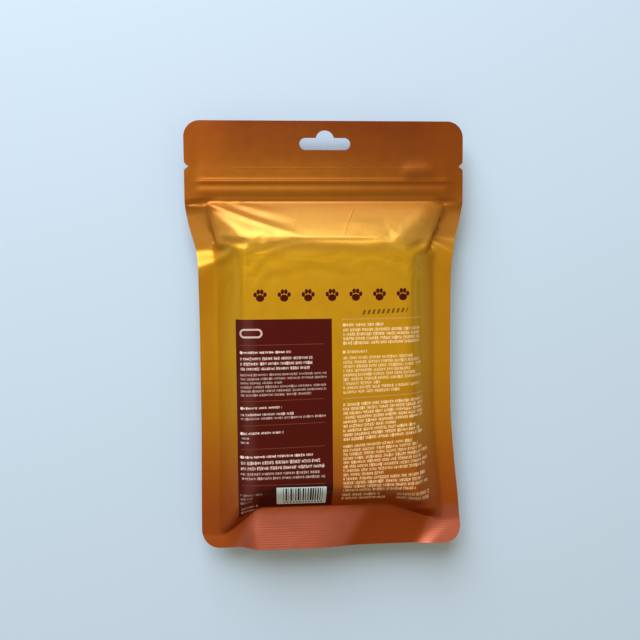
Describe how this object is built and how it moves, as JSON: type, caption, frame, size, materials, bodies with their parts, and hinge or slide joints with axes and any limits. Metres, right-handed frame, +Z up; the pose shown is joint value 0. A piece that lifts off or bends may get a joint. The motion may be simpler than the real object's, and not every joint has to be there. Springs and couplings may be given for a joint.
{
  "type": "pet food bag",
  "caption": "Sealed flat pouch of pet treats in printed metallised film, with a hang slot, tear notches and a press-to-close strip, lying on its back.",
  "frame": {"origin": "middle of the pouch's box, on the surface it lies on", "axes": "+X across the pouch, +Y from the foot seal to the header, +Z up and out of the printed face"},
  "size_m": [0.14, 0.215, 0.0273],
  "materials": {
    "printed_film": "satin"
  },
  "bodies": {
    "root": {"pouch": "printed_film"}
  },
  "joints": []
}
